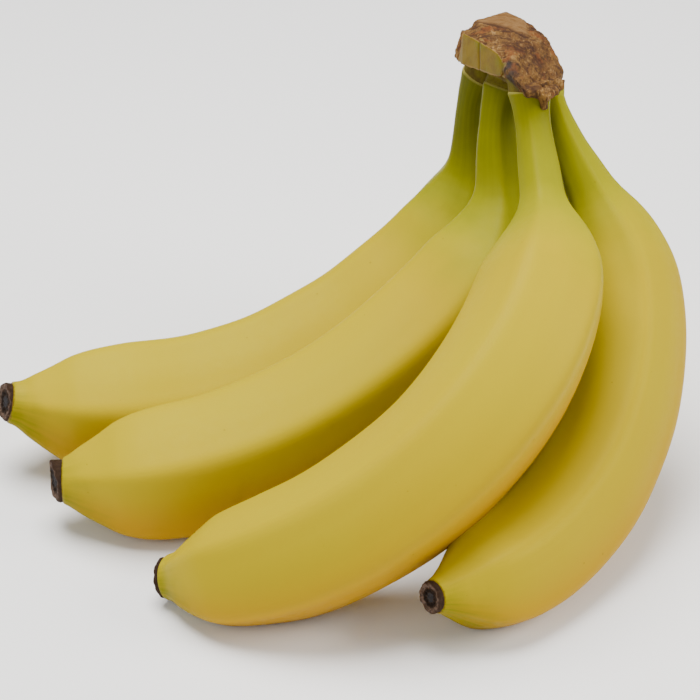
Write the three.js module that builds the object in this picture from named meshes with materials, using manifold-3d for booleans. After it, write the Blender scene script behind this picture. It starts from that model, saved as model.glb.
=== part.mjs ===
// Hand of five bananas cut from its stalk and laid down on the backs of the fingers, with the crown up.
// Millimetres, +Z up. The table is z = 0, and the origin is under the middle of the bunch.
// Each finger hangs from the crown, and its centreline bends by a curvature stated along its length.
import * as THREE from "three";
import { mergeVertices } from "three/addons/utils/BufferGeometryUtils.js";
import { ConvexGeometry } from "three/addons/geometries/ConvexGeometry.js";
import Module from "manifold-3d";

const wasm = await Module();
wasm.setup();

const radians = THREE.MathUtils.degToRad;

// The middle of the bunch's footprint, in the coordinates that the roots and crown corners are given in
const BUNCH_MIDDLE = new THREE.Vector3(-3.36, 26.18, 0);

const STEPS = 240; // steps of the centreline's integration
const RINGS = 44; // cross-sections of a finger
const SIDES = 20; // corners of a cross-section, four to a ridge
const RIDGES = 5;
const RIDGE_RELIEF = 0.042; // height of a ridge as a share of the radius
const SINK = 1.5; // how deep a belly is pressed flat where it lies on the table
const GAP = 0.3; // clearance between pieces that touch
const STUB = 3.6; // length of the dried flower rest at a finger's end
const SHOULDER_PLACE = 36; // distance from the crown to the middle of the shoulder's bend
const SHOULDER_SPREAD = 13;
const NECK_LENGTH = 30;

// Radius as a share of the girth radius: [distance from the crown, share]
const NECK_PROFILE = [
  [0, 0.32],
  [4, 0.28],
  [10, 0.26],
  [20, 0.31],
  [27, 0.33],
  [33, 0.55],
  [40, 0.72],
  [48, 0.89],
  [58, 0.95],
  [72, 0.98],
  [95, 1],
];
const NECK_FLARE = 15; // past this distance the profile moves along with a longer neck
// The same at the other end: [distance from the tip, share]
const TIP_PROFILE = [
  [0, 0.33],
  [3, 0.34],
  [8, 0.47],
  [13, 0.6],
  [19, 0.755],
  [27, 0.865],
  [38, 0.94],
  [55, 0.98],
  [80, 1],
];

// root: where the neck comes to the crown; start: distance from there to the rim where the finger's own skin begins;
// rootDepth: how far the neck runs on above that rim, as a part of the crown.
// lean: slope of the neck off the vertical, towards leanHeading. bendHeading: where the inside of the curve faces.
// Headings are degrees from -X towards -Y. neckBend, shoulderBend and bodyBend turn the finger inwards along the
// neck, shoulder and body; neckSway and bodySway turn it sideways. longer: neck length over the profile's.
const FINGERS = [
  {
    root: [36.5, 82, 99],
    start: -1.5,
    rootDepth: 5,
    lean: 22,
    leanHeading: -10,
    bendHeading: 19,
    neckBend: -28,
    shoulderBend: 54,
    bodyBend: 62,
    bodySway: 12,
    neckSway: -23,
    length: 193,
    girthRadius: 17.4,
    longer: 2.5,
    ridgeTurn: 290,
  },
  {
    root: [42, 69.5, 100],
    start: -2.5,
    rootDepth: 4,
    lean: 29,
    leanHeading: 48,
    bendHeading: 7,
    neckBend: -28,
    shoulderBend: 42,
    bodyBend: 58,
    bodySway: 8,
    neckSway: -14,
    length: 187,
    girthRadius: 18.3,
    longer: 1.5,
    ridgeTurn: 274,
  },
  {
    root: [48.5, 59.5, 105],
    start: -0.5,
    rootDepth: 2,
    lean: 24,
    leanHeading: 103,
    bendHeading: -24,
    neckBend: -12,
    shoulderBend: -1,
    bodyBend: 103,
    bodySway: 1,
    neckSway: -46,
    length: 198,
    girthRadius: 18.1,
    longer: 5.5,
    ridgeTurn: 260,
  },
  {
    root: [54.6, 69, 100.5],
    start: 2,
    rootDepth: 4,
    lean: 36,
    leanHeading: 108,
    bendHeading: 40,
    neckBend: -23,
    shoulderBend: 22,
    bodyBend: 88,
    bodySway: -5,
    neckSway: -3,
    length: 182,
    girthRadius: 16.3,
    longer: 5,
    ridgeTurn: 284,
  },
  {
    root: [53.5, 83.5, 93],
    start: 1,
    rootDepth: 9,
    lean: 0,
    leanHeading: 132,
    bendHeading: 77,
    neckBend: -30,
    shoulderBend: 57,
    bodyBend: 100,
    bodySway: -7,
    neckSway: 5,
    length: 165,
    girthRadius: 15.2,
    longer: 9,
    ridgeTurn: 0,
  },
];

// Corners of the crown: the cut block, the two lobes of skin left on its left side, and the run of dried sap
const CUT_BLOCK = [
  [31, 77, 113.5],
  [34, 84, 114],
  [38.5, 86, 113.5],
  [43, 91, 113.5],
  [50, 90, 110.5],
  [54.5, 82, 110],
  [57, 77, 106],
  [58.5, 74, 104],
  [55.5, 60, 104.5],
  [47.5, 51, 108],
  [44.5, 52, 111.5],
  [43.5, 60, 115],
  [36, 70, 115.5],
  [33, 78, 104.5],
  [38, 90, 100],
  [50, 91, 95],
  [58, 80, 97],
];
const LEFT_LOBE = [
  [31, 77, 114],
  [30.5, 82, 112.5],
  [28.5, 80, 105],
  [30.5, 73.5, 106],
  [35.3, 70, 115],
  [35.5, 67, 107.5],
  [40, 80, 112],
  [40, 78, 105],
];
const RIGHT_LOBE = [
  [35.7, 69.7, 115],
  [35.9, 66.7, 107.5],
  [40, 62.5, 115.5],
  [41.5, 61.5, 114],
  [41, 60.5, 110],
  [39.5, 62, 108.8],
  [45, 72, 113],
  [45, 70, 106],
];
const SAP_RUN = [
  [47.5, 52.3, 108.5],
  [51.5, 53.8, 107.5],
  [52, 56.5, 107],
  [49, 51.8, 104.5],
  [52.2, 52.8, 103.8],
  [50.6, 51.2, 102.2],
  [51.9, 51.8, 102.4],
  [50.5, 55.5, 104],
];

const skin = new THREE.MeshStandardMaterial({ color: 0xe6c94f, roughness: 0.5, metalness: 0 });
const cutCrown = new THREE.MeshStandardMaterial({ color: 0x98683c, roughness: 0.85, metalness: 0 });
const driedFlower = new THREE.MeshStandardMaterial({ color: 0x46362c, roughness: 0.9, metalness: 0 });

// Eases from 0 to 1 as x goes from 0 to 1
function ease(x) {
  return THREE.MathUtils.smoothstep(x, 0, 1);
}

// Value at x of the smooth curve through the points that never overshoots between them
function along(points, x) {
  const last = points.length - 1;
  if (x <= points[0][0]) return points[0][1];
  if (x >= points[last][0]) return points[last][1];
  const width = (i) => points[i + 1][0] - points[i][0];
  const rise = (i) => (points[i + 1][1] - points[i][1]) / width(i);
  const slope = (i) => {
    if (i === 0) return rise(0);
    if (i === last) return rise(last - 1);
    if (rise(i - 1) * rise(i) <= 0) return 0;
    const before = 2 * width(i) + width(i - 1);
    const after = width(i) + 2 * width(i - 1);
    return (before + after) / (before / rise(i - 1) + after / rise(i));
  };
  const i = points.findIndex((p) => p[0] > x) - 1;
  const w = width(i);
  const t = (x - points[i][0]) / w;
  const lift = (1 + 2 * t) * (1 - t) ** 2 * points[i][1] + t * t * (3 - 2 * t) * points[i + 1][1];
  return lift + t * (1 - t) ** 2 * w * slope(i) - t * t * (1 - t) * w * slope(i + 1);
}

// Radius of a finger at distance s from the crown
function radiusAt(finger, s) {
  const neck = NECK_PROFILE.map(([at, share]) => [at > NECK_FLARE ? at + finger.longer : at, share]);
  return finger.girthRadius * along(neck, s) * along(TIP_PROFILE, finger.length - s);
}

// Horizontal direction of a heading
function heading(angle) {
  return new THREE.Vector3(-Math.cos(radians(angle)), -Math.sin(radians(angle)), 0);
}

// Scales a curvature law so that it turns the finger by one radian in all
function unitTurn(law, step) {
  const total = law.reduce((sum, value) => sum + value, 0) * step;
  return law.map((value) => value / total);
}

// Centreline of a finger: points with a direction and two axes across it, the first towards the inside of the curve
function centreline(finger) {
  const { length, lean, longer } = finger;
  const step = length / STEPS;
  const distances = Array.from({ length: STEPS + 1 }, (_, i) => i * step);
  const place = SHOULDER_PLACE + longer;
  const shoulder = distances.map((s) => Math.exp(-0.5 * ((s - place) / SHOULDER_SPREAD) ** 2));
  const shoulderLaw = shoulder.map((value) => value / (SHOULDER_SPREAD * Math.sqrt(2 * Math.PI)));
  const bodyLaw = unitTurn(
    distances.map((s) => ease((s - 20) / 40) * ease((length - s) / 30 + 0.3)),
    step,
  );
  const neckLaw = unitTurn(
    distances.map((s) => ease(1 - s / NECK_LENGTH)),
    step,
  );
  const point = new THREE.Vector3(...finger.root);
  const direction = heading(finger.leanHeading)
    .multiplyScalar(Math.sin(radians(lean)))
    .add(new THREE.Vector3(0, 0, -Math.cos(radians(lean))));
  const inward = heading(finger.bendHeading);
  return distances.map((s, i) => {
    inward.addScaledVector(direction, -inward.dot(direction)).normalize();
    const sideways = new THREE.Vector3().crossVectors(direction, inward);
    const here = { s, point: point.clone(), direction: direction.clone(), inward: inward.clone(), sideways };
    const turnIn =
      radians(finger.shoulderBend) * shoulderLaw[i] +
      radians(finger.bodyBend) * bodyLaw[i] +
      radians(finger.neckBend) * neckLaw[i];
    const turnAside =
      radians(finger.bodySway) * bodyLaw[i] + (radians(finger.neckSway) * (neckLaw[i] + shoulderLaw[i])) / 2;
    direction
      .addScaledVector(inward, turnIn * step)
      .addScaledVector(sideways, turnAside * step)
      .normalize();
    point.addScaledVector(here.direction, step / 2).addScaledVector(direction, step / 2);
    return here;
  });
}

// Place on a centreline at distance s; before the root it runs straight on
function stationAt(line, s) {
  const step = line[1].s - line[0].s;
  const i = THREE.MathUtils.clamp(Math.floor(s / step), 0, line.length - 2);
  const t = s / step - i;
  const mix = (key) => line[i][key].clone().lerp(line[i + 1][key], Math.max(t, 0));
  const point = s < 0 ? line[0].point.clone().addScaledVector(line[0].direction, s) : mix("point");
  return { point, direction: mix("direction"), inward: mix("inward"), sideways: mix("sideways") };
}

// Corners of one cross-section; relief is the share by which ridges stand out
function ring(station, radius, relief, turn, sides) {
  return Array.from({ length: sides }, (_, k) => {
    const angle = (2 * Math.PI * k) / sides;
    const reach = radius * (1 + relief * Math.cos(RIDGES * angle));
    return station.point
      .clone()
      .addScaledVector(station.inward, reach * Math.cos(angle + turn))
      .addScaledVector(station.sideways, reach * Math.sin(angle + turn));
  });
}

// Closed skin over a row of rings, with a middle point at each end
function skinOver(rings, firstMiddle, lastMiddle) {
  const sides = rings[0].length;
  const points = [firstMiddle, ...rings.flat(), lastMiddle];
  const faces = [];
  const corner = (i, k) => 1 + i * sides + (k % sides);
  for (let k = 0; k < sides; k++) {
    faces.push(0, corner(0, k + 1), corner(0, k));
    for (let i = 0; i < rings.length - 1; i++) {
      faces.push(corner(i, k), corner(i, k + 1), corner(i + 1, k + 1));
      faces.push(corner(i, k), corner(i + 1, k + 1), corner(i + 1, k));
    }
    faces.push(points.length - 1, corner(rings.length - 1, k), corner(rings.length - 1, k + 1));
  }
  const geometry = new THREE.BufferGeometry().setFromPoints(points);
  geometry.setIndex(faces);
  return geometry;
}

// Distances of a finger's rings, closer together where its radius changes fast
function ringPlaces(from, to) {
  return Array.from({ length: RINGS }, (_, i) => {
    const t = i / (RINGS - 1);
    return THREE.MathUtils.lerp(from, to, t - 0.045 * Math.sin(2 * Math.PI * t) - 0.02 * Math.sin(4 * Math.PI * t));
  });
}

// Geometry of a finger's flesh and skin between two distances from the crown
function fleshOf(finger, line, places) {
  const turn = radians(finger.ridgeTurn);
  const rings = places.map((s) => ring(stationAt(line, s), radiusAt(finger, s), RIDGE_RELIEF, turn, SIDES));
  return skinOver(rings, stationAt(line, places[0]).point, stationAt(line, places.at(-1)).point);
}

// Moves a finger's centreline up or down, more and more towards the belly, until the belly lies on the table
function settle(finger, line) {
  const places = ringPlaces(finger.start + GAP, finger.length - STUB);
  for (let pass = 0; pass < 3; pass++) {
    const positions = fleshOf(finger, line, places).getAttribute("position");
    let lowest = 0;
    for (let i = 1; i < positions.count; i++) if (positions.getZ(i) < positions.getZ(lowest)) lowest = i;
    const drop = positions.getZ(lowest) + SINK;
    const belly = places[Math.min(RINGS - 1, Math.floor((lowest - 1) / SIDES))];
    for (const station of line) station.point.z -= drop * ease(station.s / belly);
  }
}

// The belly is flat where it lies on the table
function pressFlat(geometry) {
  const positions = geometry.getAttribute("position");
  for (let i = 0; i < positions.count; i++) positions.setZ(i, Math.max(positions.getZ(i), 0));
  return geometry;
}

function banana(finger, line) {
  const places = ringPlaces(finger.start + GAP, finger.length - STUB - GAP);
  return pressFlat(fleshOf(finger, line, places));
}

// Dried rest of the flower: a short cup with an uneven rim
function blossomEnd(finger, line) {
  const sides = 15;
  const wall = [
    [STUB, 0.32],
    [STUB - 1.2, 0.335],
    [0.9, 0.33],
    [0, 0.3],
    [0.1, 0.22],
    [1.1, 0.14],
  ];
  const rings = wall.map(([back, share], i) => {
    const reach = finger.girthRadius * share;
    const uneven = i === 0 ? 0 : 0.04;
    return ring(stationAt(line, finger.length - back), reach, uneven, 0.7 * i, sides);
  });
  const floor = stationAt(line, finger.length - wall.at(-1)[0]).point;
  return skinOver(rings, stationAt(line, finger.length - STUB).point, floor);
}

// Room for the free part of a neck, a gap wider than the neck itself
function neckRoom(finger, line) {
  const places = [finger.start, 4, 8, 14, 20];
  const turn = radians(finger.ridgeTurn);
  const rings = places.map((s) => {
    const reach = radiusAt(finger, s) + GAP;
    return ring(stationAt(line, s), reach, RIDGE_RELIEF, turn, SIDES);
  });
  return skinOver(rings, stationAt(line, places[0]).point, stationAt(line, places.at(-1)).point);
}

// The stretch of a neck that belongs to the crown
function collarOf(finger, line) {
  const { start, rootDepth } = finger;
  const places = [start - rootDepth, start - rootDepth / 2, start];
  return fleshOf(finger, line, places);
}

function toSolid(geometry) {
  const bare = geometry.clone();
  bare.deleteAttribute("normal");
  bare.deleteAttribute("uv");
  const merged = mergeVertices(bare, 1e-4);
  const vertProperties = new Float32Array(merged.getAttribute("position").array);
  return new wasm.Manifold(new wasm.Mesh({ numProp: 3, vertProperties, triVerts: new Uint32Array(merged.index.array) }));
}

function toGeometry(solid) {
  const { vertProperties, triVerts } = solid.getMesh();
  const geometry = new THREE.BufferGeometry();
  geometry.setAttribute("position", new THREE.BufferAttribute(new Float32Array(vertProperties), 3));
  geometry.setIndex(new THREE.BufferAttribute(new Uint32Array(triVerts), 1));
  return geometry;
}

function blockFrom(corners) {
  return toSolid(new ConvexGeometry(corners.map((corner) => new THREE.Vector3(...corner))));
}

function crown(lines) {
  let solid = blockFrom(CUT_BLOCK);
  for (const corners of [LEFT_LOBE, RIGHT_LOBE, SAP_RUN]) solid = solid.add(blockFrom(corners));
  FINGERS.forEach((finger, i) => {
    solid = solid.add(toSolid(collarOf(finger, lines[i])));
  });
  FINGERS.forEach((finger, i) => {
    solid = solid.subtract(toSolid(neckRoom(finger, lines[i])));
  });
  return toGeometry(solid);
}

const bunch = new THREE.Group();
bunch.name = "bunch_of_bananas";
bunch.position.copy(BUNCH_MIDDLE).negate();

function addPiece(name, geometry, material) {
  const mesh = new THREE.Mesh(geometry, material);
  mesh.name = name;
  bunch.add(mesh);
}

const lines = FINGERS.map((finger) => {
  const line = centreline(finger);
  settle(finger, line);
  return line;
});
FINGERS.forEach((finger, i) => {
  addPiece(`banana_${i + 1}`, banana(finger, lines[i]), skin.clone());
  addPiece(`blossom_end_${i + 1}`, blossomEnd(finger, lines[i]), driedFlower.clone());
});
addPiece("crown", crown(lines), cutCrown);

export default bunch;
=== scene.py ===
"""Dresses a hand of bananas: skins, cut crown, dried blossom ends, floor, light and camera."""
import math

import bmesh
import bpy
import numpy as np
from bpy.props import FloatProperty, FloatVectorProperty, PointerProperty
from mathutils import Color, Matrix, Vector, noise


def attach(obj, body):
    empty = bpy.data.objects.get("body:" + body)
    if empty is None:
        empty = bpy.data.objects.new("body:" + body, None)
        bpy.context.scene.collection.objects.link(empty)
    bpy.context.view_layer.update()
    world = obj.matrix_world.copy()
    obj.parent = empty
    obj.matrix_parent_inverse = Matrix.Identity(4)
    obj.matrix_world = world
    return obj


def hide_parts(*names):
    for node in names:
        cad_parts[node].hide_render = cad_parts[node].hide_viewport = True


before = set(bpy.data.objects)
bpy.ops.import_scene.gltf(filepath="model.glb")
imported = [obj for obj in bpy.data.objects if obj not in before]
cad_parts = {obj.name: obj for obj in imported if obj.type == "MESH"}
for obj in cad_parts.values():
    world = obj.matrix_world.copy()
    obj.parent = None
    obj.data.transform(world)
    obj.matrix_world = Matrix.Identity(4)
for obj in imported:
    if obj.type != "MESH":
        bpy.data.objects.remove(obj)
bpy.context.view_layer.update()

bl_info = {
    "name": "Banana Hand",
    "version": (1, 0, 0),
    "blender": (4, 5, 0),
    "location": "View3D > Sidebar > Bananas",
    "description": "Builds the skins, crown and blossom ends of a hand of bananas round its fixed solids",
    "category": "Object",
}

MM = 0.001
ORIGIN = np.array([-3.36, 26.18, 0.0])  # middle of the footprint, in the coordinates of the roots below

STEPS = 240  # steps of a centreline's integration
SINK = 1.5  # how deep a belly is pressed flat
STUB = 3.6  # length of the dried blossom end
SHOULDER_PLACE = 36.0  # distance from the root at which a finger bends most
SHOULDER_SPREAD = 13.0
NECK_LENGTH = 30.0
STRETCH_FROM = 15.0  # a longer neck is stretched from here on
RIDGES = 5
SOLID_RIDGE = 0.035  # height of a solid's ridges, as a share of its radius
GIRTH = 17.0  # usual girth radius, for the streaks

SETTLE_ROUNDS = 3
SETTLE_RINGS = 120
SETTLE_SIDES = 60
SKIN_RINGS = 330
SKIN_SIDES = 120
STUB_RINGS = 70
STUB_SIDES = 110
COLLAR_SIDES = 60
CROWN_VOXEL = 0.32
CROWN_SMOOTHING = 5

SKIN_FLOOR = 0.02  # least height of a skin's points
STUB_FLOOR = 0.05  # least height of a dried end's points
SKIN_OVERLAP = 0.1  # how far a skin reaches up past its rim
FLARE_LENGTH = 3.0
RIM_ROUND = (0.12, 0.35)  # how much a skin's upper edge rounds in, and over what length
END_ROUND = (0.10, 0.3)  # the same at the dried end
STUB_RAGGED = 4.5  # unevenness of a dried end's edge, for each share of fold
COLLAR_WIDTHS = (1.0, 1.0, 0.99, 0.88)  # shares of the neck's radius, from inside the block to the free end
SHADED_COLLARS = (0, 1, 4)  # fingers, counted from 0, whose collars get the painted shade of the hollow all round

# Radius as a share of the girth radius, from the crown and from the tip
NECK_PROFILE = (
    (0, 0.32), (4, 0.28), (10, 0.26), (20, 0.31), (27, 0.33), (33, 0.55),
    (40, 0.72), (48, 0.89), (58, 0.95), (72, 0.98), (95, 1.0),
)
TIP_PROFILE = (
    (0, 0.33), (3, 0.34), (8, 0.47), (13, 0.60), (19, 0.755), (27, 0.865), (38, 0.94), (55, 0.98), (80, 1.0),
)

# Angles in degrees, headings from -X towards -Y, lengths in millimetres. The last two rows of a finger hold
# what only its visible skin and dried end follow:
# green: depth of the neck's olive; rim: drop from the collar to the skin's rim; neck_top: narrowing of the
# neck's top; swell: widening by a share, at a distance, over a width; full: the same, counted from the tip;
# bow: shift along X, at a distance, over a width; tip: share left of the tip's width; tip_lift: how far the
# tip is raised, over a length; reach: how far the skin covers the dried end; stub: share of its length;
# turned: how far the dried end's face turns to the front; flare: widening of the skin's upper edge
FINGERS = (
    dict(root=(36.5, 82, 99), start=-1.5, root_depth=5, lean=22, lean_heading=-10, bend_heading=19,
         neck_bend=-28, shoulder_bend=54, body_bend=62, body_sway=12, neck_sway=-23,
         length=193, girth_radius=17.4, longer=2.5, ridge_turn=290,
         green=1.0, rim=1.4, neck_top=0.0, swell=(0.25, 31, 12), full=(0.12, 24, 28), bow=(0, 0, 1),
         flare=0.05, tip=0.95, tip_lift=(0.8, 60), reach=1.7, stub=1.0, turned=1.0),
    dict(root=(42, 69.5, 100), start=-2.5, root_depth=4, lean=29, lean_heading=48, bend_heading=7,
         neck_bend=-28, shoulder_bend=42, body_bend=58, body_sway=8, neck_sway=-14,
         length=187, girth_radius=18.3, longer=1.5, ridge_turn=274,
         green=0.9, rim=1.4, neck_top=0.0, swell=(0.14, 21, 12), full=(0.09, 18, 20), bow=(0, 0, 1),
         flare=0.05, tip=0.98, tip_lift=(0.8, 60), reach=0.6, stub=1.08, turned=1.7),
    dict(root=(48.5, 59.5, 105), start=-0.5, root_depth=2, lean=24, lean_heading=103, bend_heading=-24,
         neck_bend=-12, shoulder_bend=-1, body_bend=103, body_sway=1, neck_sway=-46,
         length=198, girth_radius=18.1, longer=5.5, ridge_turn=260,
         green=0.66, rim=0.0, neck_top=0.0, swell=(0.05, 20, 10), full=(0.12, 10, 12), bow=(0, 0, 1),
         flare=0.05, tip=0.93, tip_lift=(0, 28), reach=2.0, stub=1.05, turned=0.0),
    dict(root=(54.6, 69, 100.5), start=2, root_depth=4, lean=36, lean_heading=108, bend_heading=40,
         neck_bend=-23, shoulder_bend=22, body_bend=88, body_sway=-5, neck_sway=-3,
         length=182, girth_radius=16.3, longer=5, ridge_turn=284,
         green=0.25, rim=0.0, neck_top=0.26, swell=(0.26, 30, 12), full=(0.10, 17, 16), bow=(-0.8, 30, 14),
         flare=0.0, tip=0.80, tip_lift=(1.0, 28), reach=1.0, stub=0.72, turned=0.0),
    dict(root=(53.5, 83.5, 93), start=1, root_depth=9, lean=0, lean_heading=132, bend_heading=77,
         neck_bend=-30, shoulder_bend=57, body_bend=100, body_sway=-7, neck_sway=5,
         length=165, girth_radius=15.2, longer=9, ridge_turn=0,
         green=0.15, rim=0.0, neck_top=0.0, swell=(0.26, 34, 16), full=(0, 0, 1), bow=(1.0, 32, 18),
         flare=0.0, tip=0.90, tip_lift=(0, 28), reach=0.8, stub=1.0, turned=0.0),
)

CUT_BLOCK = (
    (31, 77, 113.5), (34, 84, 114), (38.5, 86, 113.5), (43, 91, 113.5), (50, 90, 110.5), (54.5, 82, 110),
    (57, 77, 106), (58.5, 74, 104), (55.5, 60, 104.5), (47.5, 51, 108), (44.5, 52, 111.5), (43.5, 60, 115),
    (36, 70, 115.5), (33, 78, 104.5), (38, 90, 100), (50, 91, 95), (58, 80, 97),
)
LEFT_LOBE = (
    (31, 77, 114), (30.5, 82, 112.5), (28.5, 80, 105), (30.5, 73.5, 106),
    (35.0, 69.3, 115), (35.2, 66.3, 107.6), (40, 80, 112), (40, 78, 105),
)
RIGHT_LOBE = (
    (34.7, 69.8, 115), (34.9, 66.8, 107.6), (39.6, 61.6, 115.4), (40.8, 59.6, 114.0), (40.6, 58.4, 110.3),
    (39.0, 60.6, 108.7), (45, 72, 113), (45, 70, 106),
)
# Dried sap that ran down on to a neck: middles and radii of its drops
SAP_RUN = (
    ((47.9, 53.1, 108.0), 1.7), ((49.8, 54.0, 107.6), 2.0), ((51.7, 53.9, 106.2), 1.75),
    ((51.8, 53.9, 105.1), 1.45), ((51.9, 53.9, 104.1), 1.3), ((52.0, 53.9, 103.3), 1.2),
    ((53.2, 55.3, 106.6), 1.8), ((54.3, 57.0, 106.1), 1.8), ((55.2, 59.4, 105.3), 1.7),
    ((56.2, 62.5, 105.3), 1.6),
)

# Marks on the crown: middle, radius and strength
BURNT_MARKS = (
    ((46, 68.8, 113.7), 3.4, 1.0), ((49.6, 69.7, 111.7), 3.8, 1.0), ((50.6, 66.8, 110.4), 3.4, 0.9),
    ((48.5, 64.1, 111.5), 2.6, 0.6), ((43.5, 70.5, 114.4), 2.4, 0.7), ((47, 77, 112.9), 2.6, 0.8),
    ((39, 72, 115), 2.6, 0.6), ((35.5, 76.5, 114.8), 1.8, 0.4), ((47.4, 52, 108.2), 2.9, 1.0),
    ((49.5, 89.5, 110.9), 1.6, 1.0), ((51.5, 86.5, 110.6), 1.6, 1.0), ((53.3, 83.5, 110.3), 1.6, 1.0),
    ((57.4, 72.5, 104.8), 1.8, 1.0), ((53.5, 57.5, 104.5), 1.8, 0.7), ((50.0, 52.8, 106.6), 1.2, 0.8),
    ((47.6, 51.9, 107.6), 2.2, 1.0), ((43.9, 55.4, 109.4), 2.3, 0.9), ((45.8, 54.2, 108.2), 1.9, 0.8),
    ((40.5, 60.8, 107.4), 1.8, 0.6), ((28.6, 80, 105.2), 1.3, 0.8), ((55.3, 60.5, 104.4), 1.5, 0.7),
)
# Painted shadow: blue-black patches on the cut beside the step at the right lobe's edge, as middle, radius
# and strength
BLUE_SHADOW_MARKS = (((42.7, 58.4, 112.4), 2.2, 1.0), ((43.1, 56.4, 110.8), 2.2, 1.0))
# Groove between the two lobes, from its top to its foot
GROOVE = (np.array([34.8, 69.5, 115.4]), np.array([35.1, 66.4, 107.2]))
LOBE_FACE = (np.array([31.0, 77.0]), np.array([41.4, 61.2]))  # ends of the skin face of the lobes, in plan

# Camera: looks along +Y and down on the middle of the picture
CAMERA_TARGET = np.array([0.0, 0.0, 60.0])
CAMERA_DISTANCE = 741.0
SENSOR = 36.0
CLIP_END = 20.0

FLOOR_HALF = 3.0  # half of the floor's width, in metres
LIGHT_TARGET = np.array([0.0, 30.0, 40.0])
FRONT_SHARE = 0.4  # power of the front light, as a share of the side light's
WHITE = (1.0, 1.0, 1.0)


def ease(x):
    """Smooth step from 0 to 1 while x goes from 0 to 1."""
    x = np.clip(x, 0, 1)
    return x * x * (3 - 2 * x)


def above(value, level, width):
    """Smooth step that starts at the level and is done a width past it."""
    return ease((value - level) / width)


def below(value, level, width):
    """Smooth step down that is done at the level and starts a width before it."""
    return ease((level - value) / width)


def bell(x, form):
    """Bell curve; form holds its height, middle and width."""
    height, middle, width = form
    return height * np.exp(-((x - middle) / width) ** 2)


def fade(distance, form):
    """Share that dies away with distance; form holds the share and the length."""
    share, length = form
    return share * np.exp(-distance / length)


def circle(count):
    """Even angles once round, as one row."""
    return np.linspace(0, 2 * math.pi, count, endpoint=False)[None]


def along(points, x):
    """Smooth curve through the points that never overshoots between them."""
    px, py = (np.array(column, float) for column in zip(*points))
    width = np.diff(px)
    rise = np.diff(py) / width
    slope = np.empty(len(px))
    slope[0], slope[-1] = rise[0], rise[-1]
    before = 2 * width[1:] + width[:-1]
    after = width[1:] + 2 * width[:-1]
    with np.errstate(divide="ignore", invalid="ignore"):
        mean = (before + after) / (before / rise[:-1] + after / rise[1:])
    slope[1:-1] = np.where(rise[:-1] * rise[1:] > 0, mean, 0)
    x = np.clip(x, px[0], px[-1])
    i = np.clip(np.searchsorted(px, x, side="right") - 1, 0, len(width) - 1)
    w = width[i]
    t = (x - px[i]) / w
    value = (1 + 2 * t) * (1 - t) ** 2 * py[i] + t * t * (3 - 2 * t) * py[i + 1]
    return value + t * (1 - t) ** 2 * w * slope[i] - t * t * (1 - t) * w * slope[i + 1]


def radius_at(finger, s):
    """Radius of the solid at a distance from its root."""
    neck = [(at + finger["longer"] if at > STRETCH_FROM else at, share) for at, share in NECK_PROFILE]
    return finger["girth_radius"] * along(neck, s) * along(TIP_PROFILE, finger["length"] - s)


def skin_radius(finger, s):
    """Radius of the visible skin: the solid's, eased over the shoulder and changed as the finger says."""
    plain = radius_at(finger, s)
    eased = sum(w * radius_at(finger, s + d) for d, w in ((-6, 1), (-3, 2), (0, 3), (3, 2), (6, 1))) / 9
    share = ease((s - 8) / 6) * ease((finger["length"] - s - 40) / 10)
    swell = bell(s, finger["swell"]) + bell(finger["length"] - s, finger["full"])
    slim_top = bell(s, (finger["neck_top"], finger["start"], 6))
    slim_tip = (1 - finger["tip"]) * ease(1 - (finger["length"] - STUB - s) / 12)
    return (plain + share * (eased - plain)) * (1 + swell - slim_top - slim_tip)


def heading(angle):
    """Level direction, at an angle from -X towards -Y."""
    return np.array([-math.cos(math.radians(angle)), -math.sin(math.radians(angle)), 0.0])


def unit(vector):
    return vector / np.linalg.norm(vector)


def centreline(finger):
    """Stations along a finger: distance, point, direction, inward axis and sideways axis."""
    length = finger["length"]
    step = length / STEPS
    s = np.arange(STEPS + 1) * step
    place = SHOULDER_PLACE + finger["longer"]
    area = SHOULDER_SPREAD * math.sqrt(2 * math.pi)
    shoulder = np.exp(-0.5 * ((s - place) / SHOULDER_SPREAD) ** 2) / area
    body = ease((s - 20) / 40) * ease((length - s) / 30 + 0.3)
    body /= body.sum() * step
    neck = ease(1 - s / NECK_LENGTH)
    neck /= neck.sum() * step
    turn = {key: math.radians(finger[key]) for key in
            ("shoulder_bend", "body_bend", "neck_bend", "body_sway", "neck_sway")}
    turn_in = turn["shoulder_bend"] * shoulder + turn["body_bend"] * body + turn["neck_bend"] * neck
    turn_aside = turn["body_sway"] * body + turn["neck_sway"] * (neck + shoulder) / 2
    lean = math.radians(finger["lean"])
    direction = heading(finger["lean_heading"]) * math.sin(lean) + np.array([0, 0, -math.cos(lean)])
    inward = heading(finger["bend_heading"])
    point = np.array(finger["root"], float)
    rows = []
    for i in range(STEPS + 1):
        inward = unit(inward - direction * (inward @ direction))
        sideways = np.cross(direction, inward)
        rows.append((point, direction, inward, sideways))
        ahead = unit(direction + (turn_in[i] * inward + turn_aside[i] * sideways) * step)
        point = point + (direction + ahead) * step / 2
        direction = ahead
    return s, [np.array(column) for column in zip(*rows)]


def stations(finger, places):
    """Point, direction, inward and sideways axes at some distances; straight on before the root."""
    s, columns = finger["line"]
    found = [np.stack([np.interp(places, s, column[:, k]) for k in range(3)], 1) for column in columns]
    found[0] += np.minimum(places, 0)[:, None] * columns[1][0]
    return found


def surface(finger, places, radii, angles):
    """Points of a grid of rings; radii is one row for each place."""
    point, _, inward, sideways = stations(finger, places)
    angles = angles + math.radians(finger["ridge_turn"])
    across = radii * np.cos(angles)
    aside = radii * np.sin(angles)
    return point[:, None] + across[..., None] * inward[:, None] + aside[..., None] * sideways[:, None]


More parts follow.
